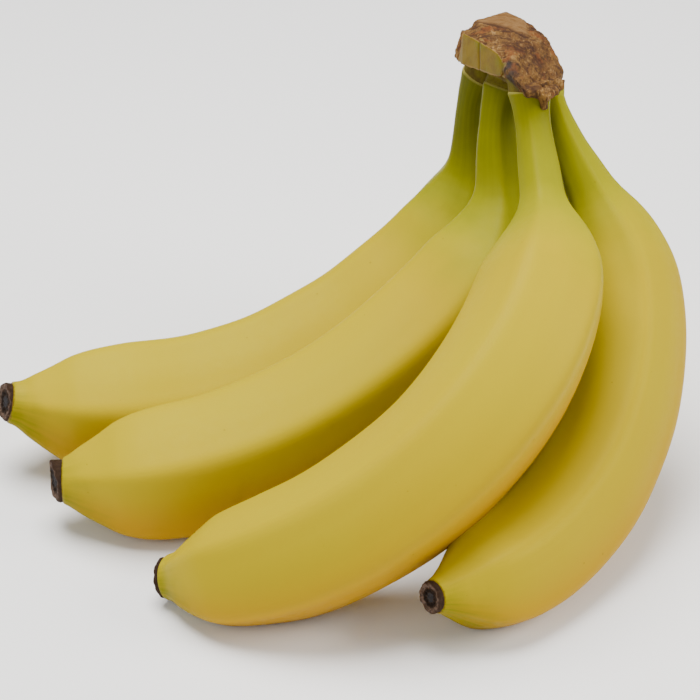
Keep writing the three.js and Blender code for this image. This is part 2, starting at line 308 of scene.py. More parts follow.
def settle(finger):
    """Lets the belly down on to the floor, then lifts the tip and bows the neck."""
    s, columns = finger["line"]
    places = np.linspace(finger["start"], finger["length"] - STUB, SETTLE_RINGS)
    angles = circle(SETTLE_SIDES)
    for _ in range(SETTLE_ROUNDS):
        radii = radius_at(finger, places)[:, None] * (1 + SOLID_RIDGE * np.cos(RIDGES * angles))
        heights = surface(finger, places, radii, angles)[..., 2]
        row = np.unravel_index(heights.argmin(), heights.shape)[0]
        columns[0][:, 2] -= (heights.min() + SINK) * ease(s / places[row])
    lift, run = finger["tip_lift"]
    columns[0][:, 2] += lift * ease(1 - (finger["length"] - s) / run)
    columns[0][:, 0] += bell(s, finger["bow"])


for each in FINGERS:
    each["line"] = centreline(each)
    settle(each)


def spread(low, high, count, crowd=0.045):
    """Distances from low to high, closer together at both ends."""
    t = np.linspace(0, 1, count)
    return low + (high - low) * (t - crowd * np.sin(2 * math.pi * t))


def closed_rings(name, points, first, last):
    """Closed mesh over a grid of rings, with a middle point at each end."""
    rings, sides = points.shape[:2]
    i, k = np.meshgrid(np.arange(rings - 1), np.arange(sides), indexing="ij")
    after = (k + 1) % sides
    quads = np.stack([i * sides + k, i * sides + after, (i + 1) * sides + after, (i + 1) * sides + k], -1)
    faces = quads.reshape(-1, 4).tolist()
    tail = (rings - 1) * sides
    for side in range(sides):
        nxt = (side + 1) % sides
        faces.append((rings * sides, nxt, side))
        faces.append((rings * sides + 1, tail + side, tail + nxt))
    mesh = bpy.data.meshes.new(name)
    mesh.from_pydata(np.concatenate([points.reshape(-1, 3), [first, last]]).tolist(), [], faces)
    return mesh


def grid_mesh(name, points, layers, first, last):
    """Closed rings in the frame's metres, with point layers of the grid's shape."""
    rings, sides = points.shape[:2]
    mesh = closed_rings(name, *((part - ORIGIN) * MM for part in (points, first, last)))
    for key, values in layers.items():
        flat = np.broadcast_to(values, (rings, sides)).reshape(-1)
        whole = np.concatenate([flat, [flat[0], flat[-1]]]).astype(np.float32)
        mesh.attributes.new(key, "FLOAT", "POINT").data.foreach_set("value", whole)
    mesh.shade_smooth()
    return mesh


def place_piece(name, mesh, material, node):
    """Links a piece, gives it its material, parents it to the root body and hides the solid it stands in for.
    """
    piece = bpy.data.objects.new(name, mesh)
    bpy.context.collection.objects.link(piece)
    mesh.materials.append(material)
    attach(piece, "root")
    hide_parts(node)


def place_row(build, material, node):
    """Builds and places one piece for each finger."""
    for index in range(len(FINGERS)):
        mesh = build(index)
        place_piece(mesh.name, mesh, material, f"{node}_{index + 1}")


def waves(s, angles, seed, count, longest, height):
    """Gentle unevenness over a finger, from a few slow waves."""
    draw = np.random.default_rng(seed)
    total = 0
    for _ in range(count):
        pitch = draw.uniform(longest / 3, longest)
        lobes = draw.integers(0, 4)
        total = total + np.sin(2 * math.pi * s / pitch + lobes * angles + draw.uniform(0, 2 * math.pi))
    return height * total / math.sqrt(count)


def ridge_form(angles, s, length):
    """Section of a finger: a softened pentagon, rounder on the neck and firmer towards the tip."""
    firm = 0.026 + 0.028 * ease((s - 4) / 40) + 0.004 * (1 - ease((length - s) / 45))
    turn = RIDGES * angles
    return firm * (np.cos(turn) + 0.25 * np.cos(2 * turn) + 0.05 * np.cos(3 * turn))


def banana_mesh(index):
    """Skin of one finger, from the rim under its collar to the dried end."""
    finger = FINGERS[index]
    length = finger["length"]
    start = finger["start"] + finger["rim"] - SKIN_OVERLAP
    end = length - STUB + finger["reach"]
    places = spread(start, end, SKIN_RINGS)
    s = places[:, None]
    angles = circle(SKIN_SIDES)
    ridges = ridge_form(angles, s, length) * ease((end - s) / 10 + 0.25)
    radii = skin_radius(finger, places)[:, None] * (1 + ridges)
    rise = above(s, 12, 30) * ease((length - s) / 12)
    radii = radii + rise * waves(s, angles, seed=31 + index, count=7, longest=70, height=0.13)
    flare = fade(s - start, (finger["flare"], FLARE_LENGTH))
    radii = radii * (1 + flare - fade(s - start, RIM_ROUND)) * (1 - fade(end - s, END_ROUND))
    points = surface(finger, places, radii, angles)
    middle = stations(finger, places)[0]
    under = (middle[:, None, 2] - points[..., 2]) / radii
    points[..., 2] = np.maximum(points[..., 2], SKIN_FLOOR)
    layers = {
        "from_crown": s - start,
        "green": finger["green"],
        "from_tip": length - s,
        "from_end": end - s,
        "ridge": np.cos(RIDGES * angles),
        "around": angles,
        "under": under,
    }
    return grid_mesh(f"banana_skin_{index + 1}", points, layers, middle[0], middle[-1])


# Wall of a dried blossom end: distance from its base, share of the girth radius, depth of the folds
STUB_WALL = (
    (-1.0, 0.28, 0.0), (0.0, 0.315, 0.0), (0.9, 0.322, 0.01), (1.9, 0.322, 0.02), (2.6, 0.325, 0.04),
    (3.05, 0.316, 0.05), (3.4, 0.295, 0.05), (3.45, 0.262, 0.06), (3.15, 0.235, 0.06), (3.0, 0.205, 0.05),
    (3.15, 0.180, 0.05), (3.05, 0.155, 0.05), (2.8, 0.135, 0.05), (2.9, 0.095, 0.04), (3.05, 0.030, 0.02),
)


def stub_mesh(index):
    """Dried end of one finger: a folded wall, a ragged edge and a hollow face."""
    finger = FINGERS[index]
    base = finger["length"] - STUB
    knots = np.linspace(0, 1, len(STUB_WALL))
    t = np.linspace(0, 1, STUB_RINGS)
    out, share, folds = (np.interp(t, knots, column)[:, None] for column in zip(*STUB_WALL))
    angles = circle(STUB_SIDES)
    turned = angles + math.radians(finger["ridge_turn"])
    draw = np.random.default_rng(90 + index)
    wrinkle = 0
    for lobes in (5, 8, 13, 21):
        wrinkle = wrinkle + np.sin(lobes * angles + draw.uniform(0, 6.3) + 1.5 * t[:, None]) / lobes ** 0.6
    spread_share = share * (1 + folds * wrinkle)
    radii = finger["girth_radius"] * finger["tip"] * spread_share
    ragged = STUB_RAGGED * folds * np.sin(7 * angles + draw.uniform(0, 6.3)) * np.cos(3 * angles)
    point, direction, inward, sideways = stations(finger, np.full(STUB_RINGS, base))
    back = np.cos(turned) * inward[:, 1, None] + np.sin(turned) * sideways[:, 1, None]
    shift = finger["turned"] * ease(out / 2.5) * (1.1 * back * radii / radii.max() - 0.25)
    place = np.clip(base + out * finger["stub"] + ragged + shift, 0, finger["length"] + 0.5)
    # The face stays clear of the skin's end
    face = np.where(t[:, None] > 0.5, base + finger["reach"] + 0.25, 0)
    place = np.maximum(place, face)
    points = point[:, None] + (place - base)[..., None] * direction[:, None]
    points = points + (radii * np.cos(turned))[..., None] * inward[:, None]
    points = points + (radii * np.sin(turned))[..., None] * sideways[:, None]
    points[..., 2] = np.maximum(points[..., 2], STUB_FLOOR)
    layers = {"reach": spread_share, "out": out}
    ends = [point[0] + direction[0] * (place[k].mean() - base) for k in (0, -1)]
    return grid_mesh(f"blossom_rest_{index + 1}", points, layers, *ends)


def hull_mesh(corners):
    """Convex block with these corners."""
    block = bmesh.new()
    for corner in corners:
        block.verts.new(corner)
    bmesh.ops.convex_hull(block, input=block.verts)
    bmesh.ops.delete(block, geom=[v for v in block.verts if not v.link_faces], context="VERTS")
    bmesh.ops.recalc_face_normals(block, faces=block.faces)
    mesh = bpy.data.meshes.new("crown_lump")
    block.to_mesh(mesh)
    block.free()
    return mesh


def collar_rings(finger):
    """The top of a neck inside the block and down to its rim, with the same section as the free neck."""
    start, rim = finger["start"], finger["start"] + finger["rim"]
    places = np.array([start - finger["root_depth"], (start + rim) / 2 - 2, rim, rim + 1.5])
    angles = circle(COLLAR_SIDES)
    radii = (skin_radius(finger, places) * COLLAR_WIDTHS)[:, None]
    radii = radii * (1 + ridge_form(angles, places[:, None], finger["length"]))
    points = surface(finger, places, radii, angles)
    return points, *stations(finger, places[[0, -1]])[0]


def fused_crown():
    """Block, lobes, sap and collars grown together by a fine remesh, in the roots' millimetres."""
    mesh = bmesh.new()
    for middle, radius in SAP_RUN:
        bmesh.ops.create_icosphere(mesh, subdivisions=3, radius=radius, matrix=Matrix.Translation(middle))
    lumps = [hull_mesh(corners) for corners in (CUT_BLOCK, LEFT_LOBE, RIGHT_LOBE)]
    lumps += [closed_rings("collar", *collar_rings(finger)) for finger in FINGERS]
    for lump in lumps:
        mesh.from_mesh(lump)
        bpy.data.meshes.remove(lump)
    rough = bpy.data.meshes.new("crown_rough")
    mesh.to_mesh(rough)
    mesh.free()
    holder = bpy.data.objects.new("crown_rough", rough)
    bpy.context.collection.objects.link(holder)
    remesh = holder.modifiers.new("fuse", "REMESH")
    remesh.mode = "VOXEL"
    remesh.voxel_size = CROWN_VOXEL
    smooth = holder.modifiers.new("soften", "SMOOTH")
    smooth.factor = 0.5
    smooth.iterations = CROWN_SMOOTHING
    graph = bpy.context.evaluated_depsgraph_get()
    fused = bpy.data.meshes.new_from_object(holder.evaluated_get(graph))
    bpy.data.objects.remove(holder)
    bpy.data.meshes.remove(rough)
    return fused


def beside_lobes(points, normals):
    """Share of the way along the lobes' face, distance out from it, and how far each point faces out."""
    start, end = LOBE_FACE
    run = end - start
    across = unit(np.array([run[1], -run[0]]))
    offset = points[:, :2] - start
    return offset @ run / (run @ run), offset @ across, normals[:, :2] @ across


def lobe_share(points, normals):
    """How much the skin of the two lobes shows at each point, from 0 to 1."""
    t, out, facing = beside_lobes(points, normals)
    low = 105.3 + 3.6 * np.clip(t, 0, 1)  # the lower edge rises to the right
    proud = above(out, 0.6, 0.3)  # near the right end only the raised face counts
    share = above(t, -0.03, 0.05) * below(t, 1.14, 0.05) * below(np.abs(out), 4.0, 0.8)
    share = share * (1 - above(t, 0.8, 0.12) * (1 - proud))
    return share * above(facing, 0.45, 0.2) * above(points[:, 2], low, 0.8)


def hollow_share(points, normals, lobe):
    """The shaded hollow between the lobes and the necks, from 0 to 1."""
    t, _, facing = beside_lobes(points, normals)
    facing = facing + np.clip(-normals[:, 2], 0, 1)
    share = (1 - lobe) * above(facing, 0.2, 0.3) * below(points[:, 2], 109.5, 1.5)
    return share * below(t, 1.35, 0.2) * above(t, -0.02, 0.06)


def collar_share(points, fingers):
    """How much each point belongs to the collars of some fingers, from 0 to 1."""
    share = np.zeros(len(points))
    for index in fingers:
        finger = FINGERS[index]
        point, direction, _, _ = (column[0] for column in stations(finger, np.zeros(1)))
        lift = (points - point) @ direction
        off = np.linalg.norm(points - point - lift[:, None] * direction, axis=1)
        near = below(off, radius_at(finger, np.zeros(1))[0] * 1.25, 1.0)
        rim = finger["start"] + finger["rim"]
        share = np.maximum(share, near * above(lift, rim - 4.8, 1.2))
    return share


def marks(points, spots):
    """Soft round marks, as the strongest of all spots at each point."""
    share = np.zeros(len(points))
    for middle, radius, strength in spots:
        gap = np.linalg.norm(points - np.array(middle), axis=1)
        share = np.maximum(share, strength * ease(1.4 - gap / radius))
    return share


def from_segment(points, segment):
    """Distance of each point from a straight segment."""
    start, end = segment
    run = end - start
    t = np.clip((points - start) @ run / (run @ run), 0, 1)
    return np.linalg.norm(points - start - t[:, None] * run, axis=1)


def triples(items, key):
    """One row of three numbers for each item of a mesh."""
    values = np.empty(len(items) * 3)
    items.foreach_get(key, values)
    return values.reshape(-1, 3)


def noise_at(places):
    return np.array([noise.noise(Vector(place)) for place in places])


def torn_relief(points, steep, cut):
    """Height of the fibres, lumps and grit of the cut, and of the soft skin elsewhere."""
    flat_fibre = noise_at(points * (1.1, 0.5, 2.5))
    steep_fibre = noise_at(points * (1.3, 1.3, 0.25) + 0.4 * points[:, 2:] * (1, 0, 0))
    fibre = flat_fibre + steep * (steep_fibre - flat_fibre)
    torn = noise_at(points * 0.33 + (9, 0, 0))
    grit = noise_at(points * 2.6 + (0, 5, 0))
    soft = noise_at(points * 0.2 + (0, 0, 3))
    return cut * (0.28 * fibre + 0.46 * torn + 0.09 * grit) + (1 - cut) * 0.15 * soft


def crown_mesh():
    """Fused crown with its relief, and the layers that its material reads."""
    mesh = fused_crown()
    points = triples(mesh.vertices, "co")
    normals = triples(mesh.vertex_normals, "vector")
    lobe = lobe_share(points, normals)
    hollow = hollow_share(points, normals, lobe)
    # Collars in the shade under the lobes, which the material paints with painted shade; of the third finger
    # only the left part
    collar = collar_share(points, SHADED_COLLARS)
    collar = np.maximum(collar, collar_share(points, (2,)) * below(points[:, 0], 46.0, 1.4))
    # The low part of the fourth finger's collar is as fresh as its neck
    fresh = collar_share(points, (3,)) * below(points[:, 2], 103.0, 0.8)
    # Behind the seam the top is a smoother pale facet
    seam = 81 - 0.44 * (points[:, 0] - 40.3) - points[:, 1]
    far = below(points[:, 0], 49.2, 1.2)
    pale = ease(-seam / 0.7 + 0.5) * above(normals[:, 2], 0.55, 0.2) * far
    line = bell(seam, (1, 0, 0.6)) * above(normals[:, 2], 0.5, 0.2) * far
    groove = bell(from_segment(points, GROOVE), (1, 0, 0.4))
    cut = np.clip(1 - lobe - collar - fresh - 0.7 * pale, 0, 1)
    steep = below(normals[:, 2], 0.80, 0.25)
    push = torn_relief(points, steep, cut) + (0.35 * pale - 0.45 * line - 0.28 * groove)
    points = points + normals * push[:, None]
    mesh.vertices.foreach_set("co", ((points - ORIGIN) * MM).reshape(-1))
    layers = {
        "lobe": lobe, "collar": collar, "fresh": fresh, "hollow": hollow, "pale": pale, "relief": push,
        "steep": steep, "dark_line": np.maximum(line, 0.6 * groove), "burnt": marks(points, BURNT_MARKS),
        "blue": marks(points, BLUE_SHADOW_MARKS),
    }
    for key, values in layers.items():
        mesh.attributes.new(key, "FLOAT", "POINT").data.foreach_set("value", values.astype(np.float32))
    mesh.shade_smooth()
    mesh.update()
    return mesh


class Net:
    """Short hand for adding and joining the shader nodes of one tree, and for painting a colour in layers."""

    def __init__(self, tree):
        self.tree = tree
        self.colour = None

    def add(self, kind, **values):
        node = self.tree.nodes.new(kind)
        for key, value in values.items():
            setattr(node, key, value)
        return node

    def set(self, socket, value):
        """Joins a socket to another one, or gives it a colour or a number."""
        if isinstance(value, bpy.types.NodeSocket):
            self.tree.links.new(value, socket)
        elif isinstance(value, Color):
            socket.default_value = (*value, 1.0)
        else:
            socket.default_value = value

    def fill(self, inputs, values):
        """Sets several sockets by name."""
        for key, value in values.items():
            self.set(inputs[key], value)

    def paint(self, share, tint):
        """Lays a tint over the colour so far, by a share."""
        self.colour = self.mix(share, self.colour, tint)

    def math(self, operation, a, b=0.0):
        node = self.add("ShaderNodeMath", operation=operation)
        self.set(node.inputs[0], a)
        self.set(node.inputs[1], b)
        return node.outputs[0]

    def plus(self, a, b):
        return self.math("ADD", a, b)

    def minus(self, a, b):
        return self.math("SUBTRACT", a, b)

    def times(self, a, b):
        return self.math("MULTIPLY", a, b)

    def between(self, share, a, b):
        """From value a to value b, by a share."""
        return self.plus(self.times(b, share), self.times(a, self.minus(1.0, share)))

    def ramp(self, value, low, high, start=0.0, end=1.0):
        """Eased change from start to end while value goes from low to high."""
        node = self.add("ShaderNodeMapRange", interpolation_type="SMOOTHSTEP")
        for socket, given in zip(node.inputs[:5], (value, low, high, start, end)):
            self.set(socket, given)
        return node.outputs[0]

    def band(self, value, rise, fall):
        """One between two eased edges and nought outside them; each edge is a pair of values."""
        return self.times(self.ramp(value, *rise), self.ramp(value, *fall, 1.0, 0.0))

    def mix(self, share, a, b):
        """From colour a to colour b, by a share."""
        node = self.add("ShaderNodeMix", data_type="RGBA")
        self.set(node.inputs["Factor"], share)
        self.set(node.inputs[6], a)
        self.set(node.inputs[7], b)
        return node.outputs[2]

    def layer(self, name):
        node = self.add("ShaderNodeAttribute", attribute_name=name)
        return node.outputs["Fac"]

    def place(self, stretch=(1.0, 1.0, 1.0)):
        """Object coordinates in millimetres, stretched along each axis."""
        coordinates = self.add("ShaderNodeTexCoord")
        node = self.add("ShaderNodeVectorMath", operation="MULTIPLY")
        self.set(node.inputs[0], coordinates.outputs["Object"])
        self.set(node.inputs[1], tuple(1000.0 * v for v in stretch))
        return node.outputs[0]

    def noise(self, vector, scale, detail=3.0, rough=0.55, distortion=0.0):
        node = self.add("ShaderNodeTexNoise")
        self.fill(node.inputs, {
            "Vector": vector, "Scale": scale, "Detail": detail, "Roughness": rough, "Distortion": distortion,
        })
        return node.outputs["Fac"]

    def bump(self, height, strength, distance):
        node = self.add("ShaderNodeBump")
        self.fill(node.inputs, {"Strength": strength, "Distance": distance, "Height": height})
        return node.outputs["Normal"]

    def vector(self, x, y, z):
        node = self.add("ShaderNodeCombineXYZ")
        for socket, value in zip(node.inputs, (x, y, z)):
            self.set(socket, value)
        return node.outputs[0]

    def mask(self, group, **values):
        """Mask from one of the shared groups."""
        node = self.add("ShaderNodeGroup", node_tree=group)
        self.fill(node.inputs, values)
        return node.outputs["Mask"]


def mask_group(name, **numbers):
    """Shader group that turns a place and some numbers into a mask: helper, inputs and the mask's socket."""
    tree = bpy.data.node_groups.new(name, "ShaderNodeTree")
    tree.interface.new_socket("Place", in_out="INPUT", socket_type="NodeSocketVector")
    for label, default in numbers.items():
        socket = tree.interface.new_socket(label, in_out="INPUT", socket_type="NodeSocketFloat")
        socket.default_value = default
    tree.interface.new_socket("Mask", in_out="OUTPUT", socket_type="NodeSocketFloat")
    net = Net(tree)
    return net, net.add("NodeGroupInput").outputs, net.add("NodeGroupOutput").inputs["Mask"]


def specks_group():
    """Small round dots, only in some patches: mask of the dots."""
    if "Specks" in bpy.data.node_groups:
        return bpy.data.node_groups["Specks"]
    net, given, mask = mask_group("Specks", Spacing=4.0, Size=0.1, Share=0.4)
    cells = net.add("ShaderNodeTexVoronoi", feature="F1")
    net.set(cells.inputs["Vector"], given["Place"])
    net.set(cells.inputs["Scale"], net.math("DIVIDE", 1.0, given["Spacing"]))
    channels = net.add("ShaderNodeSeparateColor")
    net.set(channels.inputs[0], cells.outputs["Color"])
    size = net.times(given["Size"], channels.outputs[0])
    dot = net.ramp(cells.outputs["Distance"], net.times(size, 0.5), size, 1.0, 0.0)
    kept = net.math("LESS_THAN", channels.outputs[1], given["Share"])
    net.set(mask, net.times(dot, kept))
    return net.tree


def patches_group():
    """Soft uneven patches: mask, from a slow noise cut at a level."""
    if "Patches" in bpy.data.node_groups:
        return bpy.data.node_groups["Patches"]
    net, given, mask = mask_group("Patches", Scale=0.05, Level=0.55, Softness=0.1)
    cloud = net.noise(given["Place"], given["Scale"], 5.0, 0.6, 0.4)
    high = net.plus(given["Level"], given["Softness"])
    net.set(mask, net.ramp(cloud, given["Level"], high))
    return net.tree


def new_material(name):
    """Material with only a Principled shader; returns the material, its helper and the shader's inputs."""
    material = bpy.data.materials.new(name)
    material.use_nodes = True
    tree = material.node_tree
    tree.nodes.clear()
    net = Net(tree)
    principled = net.add("ShaderNodeBsdfPrincipled")
    output = net.add("ShaderNodeOutputMaterial")
    tree.links.new(principled.outputs[0], output.inputs[0])
    return material, net, principled.inputs


def paint_ripe(net, look, place, streaks, from_crown, under):
    """Yellow of the ripe skin: deeper in slow patches, with a painted highlight that makes the upper faces
    paler and painted shade that makes the lower faces golden.
    """
    cloud = net.noise(place, 0.022, 2.0, 0.5)
    net.colour = net.mix(net.ramp(cloud, 0.38, 0.66, 0.0, 0.6), look.skin, look.skin_deep)
    net.paint(net.ramp(streaks, 0.45, 0.8, 0.0, 0.15), look.skin_pale_and_top_light)
    # Painted highlight: away from the neck the upper faces turn paler, as if lit from above
    pale = net.times(net.ramp(under, -1.0, -0.3, 0.4, 0.0), net.ramp(from_crown, 50.0, 100.0))
    net.paint(pale, look.skin_pale_and_top_light)
    # Painted shade: the lower faces turn golden, as if in shade
    golden = net.times(net.ramp(under, -0.5, 0.6, 0.0, 0.95), net.ramp(from_crown, 20.0, 60.0))
    net.paint(golden, look.skin_under_shade)


def paint_neck(net, look, place, streaks, from_crown, under):
    """Olive of the neck, with an uneven edge that lies nearer to the crown on riper fingers."""
    depth = net.layer("green")
    edge = net.plus(from_crown, net.times(net.noise(place, 0.09, 3.0), 18.0))
    edge = net.minus(edge, net.times(under, 7.0))
    edge = net.plus(edge, net.times(net.minus(1.0, depth), 22.0))
    net.paint(net.ramp(edge, 44.0, 92.0, 1.0, 0.0), look.neck)
    dark = net.times(net.ramp(edge, 16.0, 66.0, 1.0, 0.0), net.ramp(streaks, 0.3, 0.7, 0.88, 1.0))
    net.paint(net.times(dark, depth), look.neck_dark)
    rim = net.times(net.ramp(from_crown, 0.3, 1.1, 0.85, 0.0), net.ramp(depth, 0.2, 0.6))
    net.paint(rim, look.neck_rim)


def paint_tip(net, look, place, streaks, under):
    """Green beside the dried end, and a ragged brown edge where the skin meets it."""
    edge = net.plus(net.layer("from_tip"), net.times(net.noise(place, 0.16, 3.0), 10.0))
    edge = net.minus(edge, net.times(under, 9.0))
    green = net.times(net.ramp(edge, 3.0, 24.0, 0.95, 0.0), net.ramp(streaks, 0.35, 0.6, 0.6, 1.0))
    net.paint(green, look.tip)
    ragged = net.plus(net.layer("from_end"), net.times(net.noise(place, 0.9, 3.0), 1.2))
    net.paint(net.ramp(ragged, 0.5, 1.1, 0.9, 0.0), look.bruise)


def paint_marks(net, look, place, streaks):
    """Rubbed ridges, faint bruises and small specks."""
    crest = net.ramp(net.layer("ridge"), 0.90, 1.0)
    worn = net.times(crest, net.ramp(streaks, 0.4, 0.7, 0.02, 0.14))
    net.paint(worn, look.ridge)
    bruises = net.mask(patches_group(), Place=place, Scale=0.055, Level=0.64, Softness=0.10)
    net.paint(net.times(bruises, 0.06), look.bruise)
    dots = net.mask(specks_group(), Place=place, Spacing=5.0, Size=0.10, Share=0.5)
    fine_dots = net.mask(specks_group(), Place=place, Spacing=2.2, Size=0.09, Share=0.22)
    freckles = net.math("MAXIMUM", net.times(dots, 0.55), net.times(fine_dots, 0.4))
    net.paint(net.times(freckles, look.speck_amount), look.bruise)


def skin_material(look):
    """Banana skin: yellow, olive at the neck, green by the tip, with faint streaks, specks and bruises, and a
    painted highlight on the upper faces and painted shade on the lower ones.
    """
    material, net, surface_in = new_material("banana_skin")
    place = net.place()
    from_crown = net.layer("from_crown")
    around = net.layer("around")
    under = net.layer("under")
    lengthwise = net.vector(
        net.times(from_crown, 0.05),
        net.times(net.math("COSINE", around), GIRTH),
        net.times(net.math("SINE", around), GIRTH),
    )
    streaks = net.noise(lengthwise, 0.4, 3.0, 0.55)
    paint_ripe(net, look, place, streaks, from_crown, under)
    paint_neck(net, look, place, streaks, from_crown, under)
    paint_tip(net, look, place, streaks, under)
    paint_marks(net, look, place, streaks)
    pores = net.noise(place, 2.4, 3.0, 0.6)
    fibres = net.noise(lengthwise, 1.6, 3.0, 0.55)
    height = net.plus(net.times(pores, 0.5), net.times(fibres, 0.7))
    net.fill(surface_in, {
        "Base Color": net.colour,
        "Roughness": net.ramp(net.noise(place, 0.5, 4.0), 0.3, 0.7, 0.40, 0.50),
        "Specular IOR Level": 0.05,
        "Subsurface Weight": 0.05,
        "Subsurface Radius": (1.0, 0.5, 0.05),
        "Subsurface Scale": 0.003,
        "Normal": net.bump(height, 0.25, 0.0001),
    })
    return material


def paint_cut(net, look, place, steep, fibres):
    """Torn brown of the cut, with pale and dark threads, red patches, the smooth facet behind the top, and
    painted shade in its pits.
    """
    coarse = net.noise(place, 0.20, 4.0, 0.6, 0.6)
    net.colour = net.mix(net.ramp(coarse, 0.38, 0.62), look.cut, look.cut_pale)
    top_threads = net.noise(net.place((1.2, 0.3, 1.4)), 0.9, 3.0, 0.6, 1.0)
    side_threads = net.noise(net.place((1.5, 1.5, 0.22)), 0.9, 3.0, 0.6, 1.0)
    threads = net.between(steep, top_threads, side_threads)
    for value, low, high, start, end, tint in (
        (threads, 0.55, 0.66, 0.0, 0.75, look.cut_fleck),
        (threads, 0.44, 0.34, 0.0, 0.7, look.cut_dark),
        (fibres, 0.50, 0.62, 0.0, 0.85, look.cut_dark),
        (fibres, 0.42, 0.34, 0.0, 0.6, look.cut_fleck),
        (steep, 0.0, 1.0, 0.28, 0.0, look.cut_dark),
    ):
        net.paint(net.ramp(value, low, high, start, end), tint)
    red = net.mask(patches_group(), Place=place, Scale=0.16, Level=0.55, Softness=0.08)
    net.paint(net.times(red, 0.6), look.cut_red)
    facet = net.mix(net.ramp(fibres, 0.35, 0.7), look.facet, look.cut)
    net.paint(net.times(net.layer("pale"), 0.9), facet)
    # Painted shade: the cut is darker where its relief sinks in
    pit_shade = net.ramp(net.layer("relief"), -0.35, 0.05, 0.6, 0.0)
    net.paint(pit_shade, look.cut_dark)


def lobe_colour(net, look, place):
    """Skin left on the crown: yellow-brown, greener in patches, with soft stains."""
    tint = net.ramp(net.noise(place, 0.16, 4.0), 0.42, 0.66)
    skin = net.mix(tint, look.lobe, look.lobe_green)
    stain = net.mask(patches_group(), Place=place, Scale=0.22, Level=0.44, Softness=0.22)
    return net.mix(net.times(stain, 0.55), skin, look.lobe_stain)


def crown_material(look):
    """Cut crown: torn brown fibre, yellow-green skin on the lobes and on the low part of the fourth collar,
    and painted shade in dark olive and brown on the hollow under the lobes and on most other collars.
    """
    material, net, surface_in = new_material("crown_cut")
    place = net.place()
    steep = net.layer("steep")
    top_fibres = net.noise(net.place((0.30, 0.9, 0.9)), 0.8, 4.0, 0.6, 0.9)
    side_fibres = net.noise(net.place((0.9, 0.9, 0.20)), 0.8, 4.0, 0.6, 0.9)
    fibres = net.between(steep, top_fibres, side_fibres)
    uneven = net.times(net.minus(net.noise(place, 0.8, 3.0), 0.5), 0.5)

    fresh = net.ramp(net.plus(net.layer("fresh"), uneven), 0.3, 0.6)
    paint_cut(net, look, place, steep, fibres)
    net.paint(fresh, look.neck)
    # Painted shade: dark olive with brown patches on the hollow under the lobes and on the shaded collars
    tint = net.ramp(net.noise(place, 0.3, 3.0), 0.38, 0.66, 0.0, 0.8)
    shaded = net.mix(tint, look.hollow, look.hollow_shade_brown)
    dim = net.math("MAXIMUM", net.layer("collar"), net.layer("hollow"))
    net.paint(net.ramp(net.plus(dim, uneven), 0.3, 0.6), shaded)
    broken = net.ramp(net.noise(place, 0.7, 4.0, 0.65), 0.38, 0.58, 0.15, 1.0)
    burnt = net.times(net.layer("burnt"), broken)
    net.paint(net.times(burnt, 0.9), look.cut_dark)

    lobe = net.layer("lobe")
    lobe_edge = net.ramp(net.plus(lobe, uneven), 0.35, 0.55)
    net.paint(lobe_edge, lobe_colour(net, look, place))
    rim = net.band(lobe, (0.03, 0.35), (0.55, 0.98))
    net.paint(net.times(rim, 0.6), look.cut_fleck)
    # Dark line along the seam behind the top, and painted shade in the groove between the two lobes
    net.paint(net.times(net.layer("dark_line"), 0.7), look.cut_dark)
    # Painted shadow: blue-black patches beside the step at the right lobe's edge
    patchy = net.ramp(net.noise(place, 0.5, 3.0), 0.3, 0.6, 0.5, 1.0)
    blue = net.times(net.layer("blue"), patchy)
    net.paint(net.times(blue, 0.85), look.blue_black_shadow)
    grit = net.noise(place, 2.2, 4.0, 0.65)
    height = net.plus(net.times(fibres, 1.4), net.times(grit, 0.5))
    calm = net.times(height, net.ramp(lobe_edge, 0.0, 1.0, 1.0, 0.25))
    net.fill(surface_in, {
        "Base Color": net.colour,
        "Roughness": net.ramp(lobe_edge, 0.0, 1.0, 0.80, 0.5),
        "Specular IOR Level": 0.2,
        "Normal": net.bump(calm, 0.7, 0.0004),
    })
    return material


def stub_material(look):
    """Dried blossom end: dark brown, with a grey-brown ring, a black one and a grey middle on its face."""
    material, net, surface_in = new_material("dried_flower")
    place = net.place()
    reach = net.layer("reach")
    uneven = net.minus(net.noise(place, 0.9, 4.0, 0.6), 0.5)
    rough_ring = net.plus(reach, net.times(uneven, 0.08))
    patch = net.ramp(net.noise(place, 1.3, 4.0, 0.65), 0.4, 0.62)
    net.colour = net.mix(net.times(patch, 0.4), look.stub, look.stub_grey)
    band = net.band(rough_ring, (0.19, 0.22), (0.28, 0.31))
    band = net.times(band, net.ramp(patch, 0.0, 1.0, 0.35, 1.0))
    net.paint(band, look.stub_band)
    core = net.ramp(rough_ring, 0.08, 0.12, 1.0, 0.0)
    net.paint(core, look.stub_core)
    ring = net.band(rough_ring, (0.10, 0.13), (0.16, 0.19))
    net.paint(net.times(ring, 0.8), look.stub_ring)
    lip = net.times(net.ramp(net.layer("out"), 3.1, 3.5), net.ramp(reach, 0.27, 0.31))
    net.paint(net.times(lip, 0.8), look.cut_dark)
    grain = net.noise(place, 2.5, 4.0, 0.6)
    net.fill(surface_in, {
        "Base Color": net.colour,
        "Roughness": net.ramp(patch, 0.0, 1.0, 0.65, 0.9),
        "Specular IOR Level": 0.08,
        "Normal": net.bump(grain, 0.8, 0.0004),
    })
    return material


def floor_material(look):
    """Pale matt floor, a shade darker in slow patches."""
    material, net, surface_in = new_material("floor")
    shade = net.ramp(net.noise(net.place(), 0.01, 2.0), 0.3, 0.7, 0.0, 0.02)
    colour = net.mix(shade, look.floor, Color((0.85, 0.85, 0.85)))
    net.fill(surface_in, {"Base Color": colour, "Roughness": 0.9, "Specular IOR Level": 0.1})
    return material


def tint(name, description, default):
    """Colour property with its linear default."""
    return FloatVectorProperty(
        name=name, description=description, default=default, subtype="COLOR", min=0, max=1
    )


